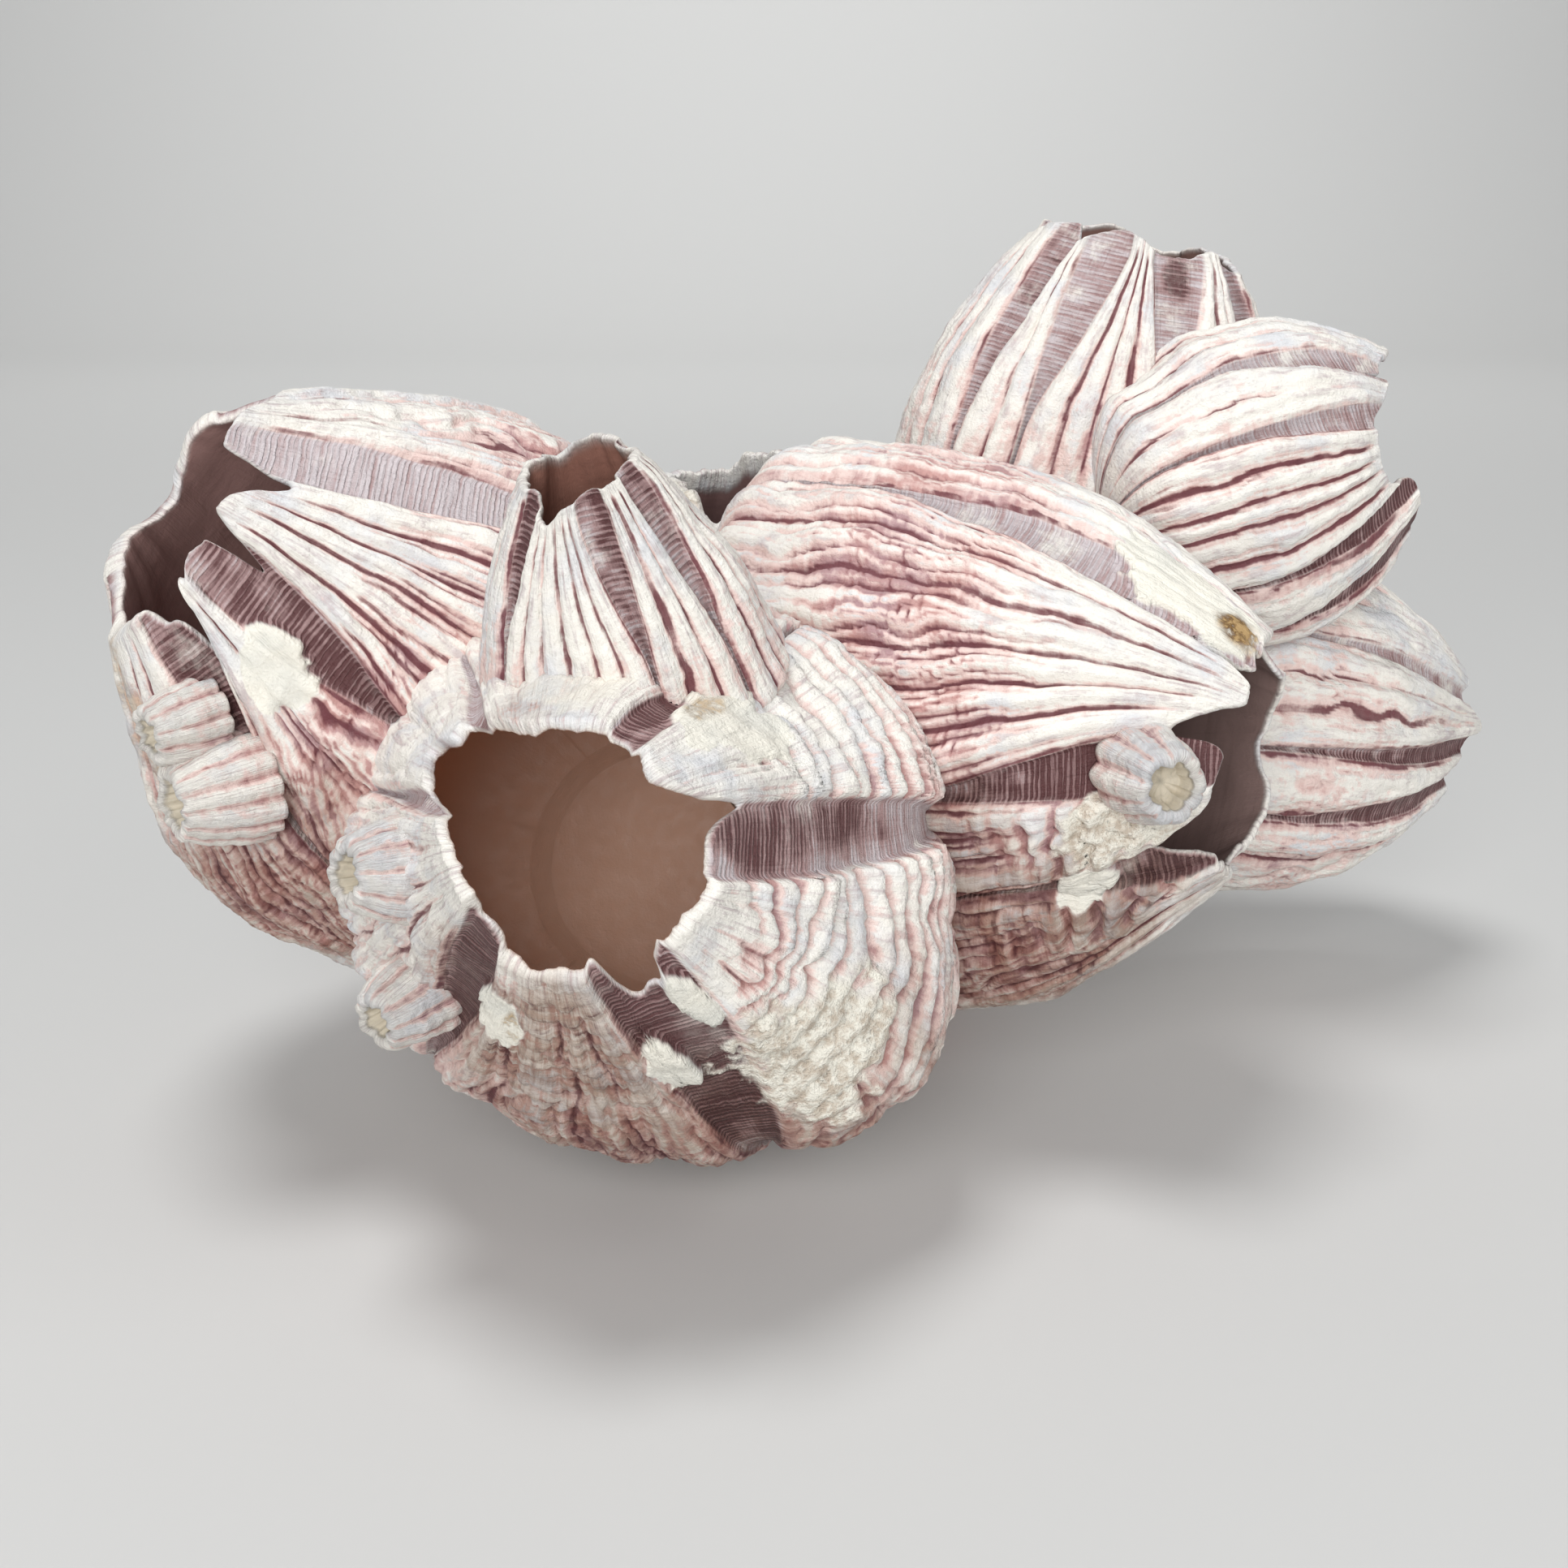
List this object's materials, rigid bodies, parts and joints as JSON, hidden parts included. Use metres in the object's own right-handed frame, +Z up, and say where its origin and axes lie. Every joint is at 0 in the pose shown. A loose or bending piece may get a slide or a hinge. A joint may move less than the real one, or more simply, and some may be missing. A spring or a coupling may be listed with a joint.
{
  "type": "barnacle cluster",
  "caption": "Cluster of large acorn barnacle shells grown together, with ribbed plates and open cups, resting on a flat cut base.",
  "frame": {"origin": "middle of the flat base of the back barnacle, on the surface that the cluster rests on", "axes": "+Z up, -Y the side that the large front opening faces, +X to the right of it, the long way of the cluster"},
  "size_m": [0.1511, 0.1208, 0.0909],
  "materials": {
    "back_shell": "matt, ribbed lime shell",
    "front_shell": "matt, ribbed lime shell",
    "right_shell": "matt, ribbed lime shell",
    "left_shell": "matt, ribbed lime shell",
    "far_right_shell": "matt, ribbed lime shell",
    "upper_shell": "matt, ribbed lime shell",
    "upper_right_shell": "matt, ribbed lime shell",
    "on_front_shell": "matt, ribbed lime shell",
    "small_shell": "matt, chalky lime shell"
  },
  "bodies": {
    "root": {"barnacle_back": "back_shell", "barnacle_front": "front_shell", "barnacle_right": "right_shell", "barnacle_left": "left_shell", "barnacle_far_right": "far_right_shell", "barnacle_upper": "upper_shell", "barnacle_upper_right": "upper_right_shell", "barnacle_on_front": "on_front_shell", "barnacle_small_1": "small_shell", "barnacle_small_2": "small_shell", "barnacle_small_3": "small_shell", "barnacle_small_4": "small_shell", "barnacle_small_5": "small_shell"}
  },
  "joints": []
}
